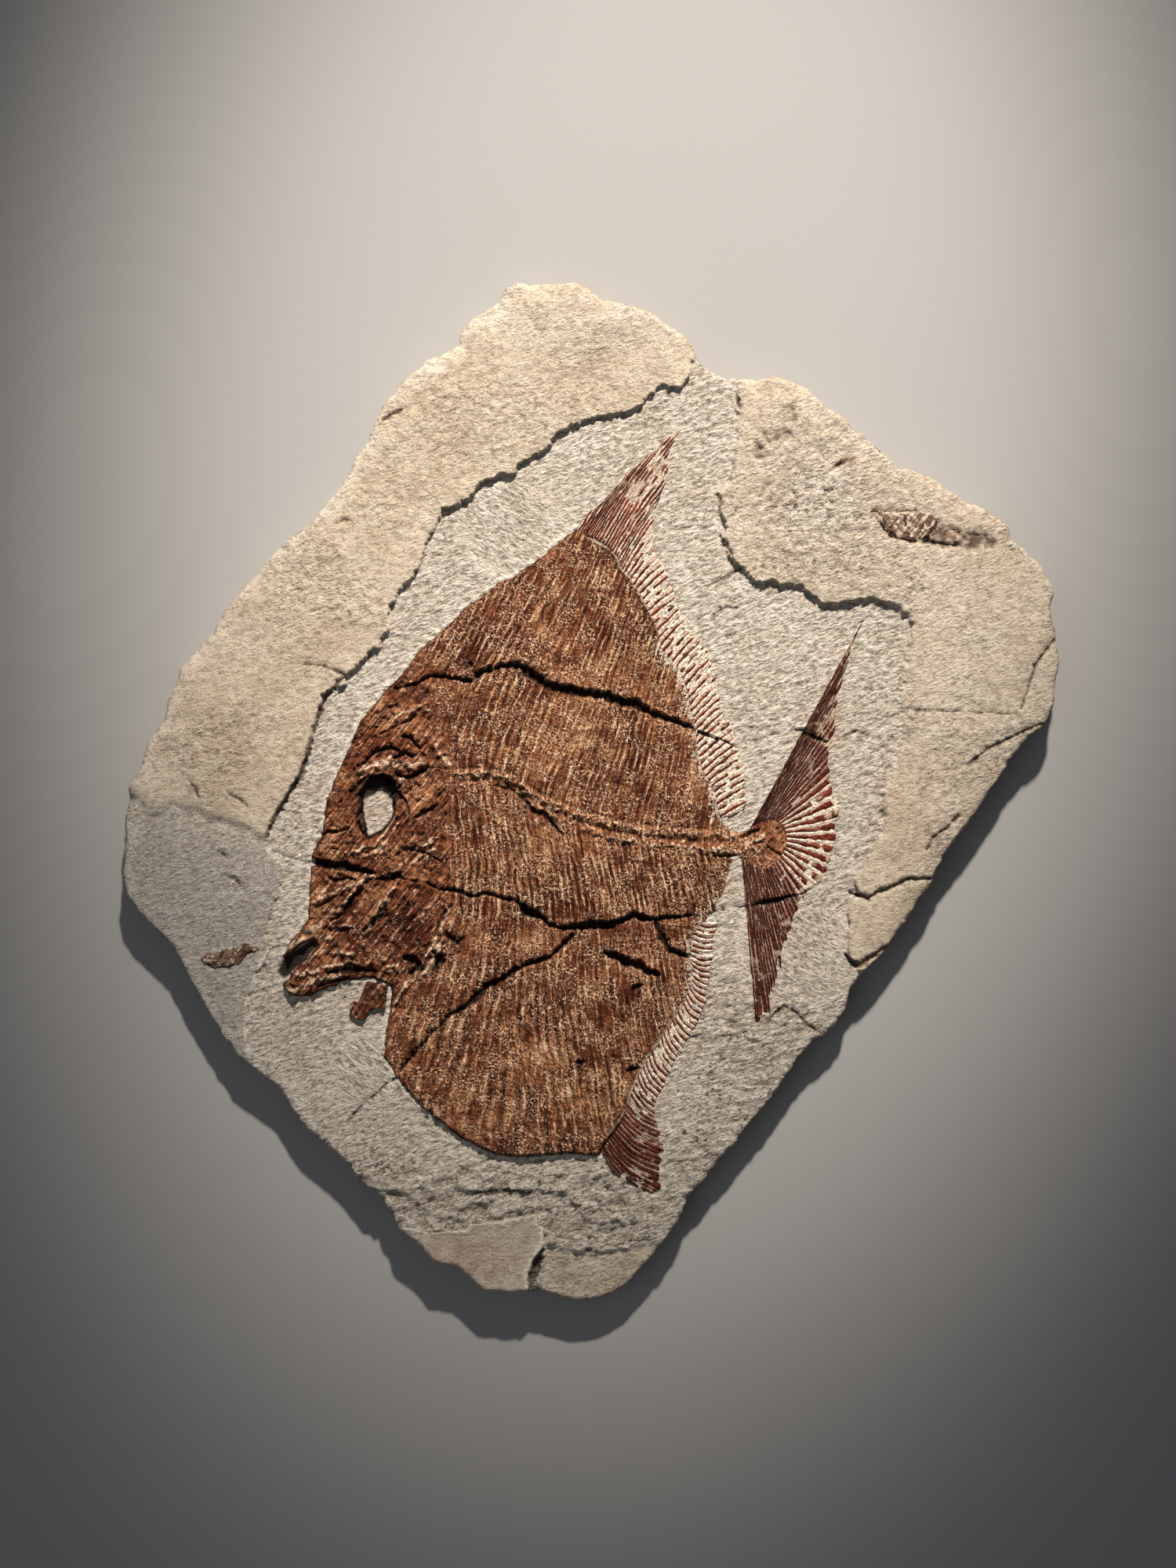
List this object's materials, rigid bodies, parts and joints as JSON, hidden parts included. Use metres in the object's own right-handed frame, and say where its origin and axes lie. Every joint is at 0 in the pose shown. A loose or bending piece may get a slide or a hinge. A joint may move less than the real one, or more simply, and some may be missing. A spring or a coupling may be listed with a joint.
{
  "type": "fossil fish slab",
  "caption": "Flat irregular limestone plate carrying the petrified body and fins of a deep-bodied fish in low relief, for display lying on its back or on a stand.",
  "frame": {"origin": "centre of the bounding box's bottom, on the slab's flat back face", "axes": "+Z out of the slab's worked face, the shortest way through it; +Y towards the fish's back fin, the slab's longest way; the fish's head points to -X"},
  "size_m": [0.399, 0.434, 0.0208],
  "materials": {
    "limestone": "dry chalky lithographic limestone, pitted tan bedding layers and tool-stroked pale grey prepared face",
    "fossil_bone": "petrified bone and scales, red-brown with pale beads, dull sheen",
    "fin_bone": "petrified fin rays, dark red-brown, dull",
    "pale_bone": "thin weathered bone film, pinkish brown, matt"
  },
  "bodies": {
    "root": {"limestone_slab": "limestone", "fish_body": "fossil_bone", "dorsal_fin": "fin_bone", "anal_fin": "fin_bone", "tail_fin": "fin_bone", "pelvic_fin": "fossil_bone", "small_fish": "pale_bone", "bone_scrap": "pale_bone"}
  },
  "joints": []
}
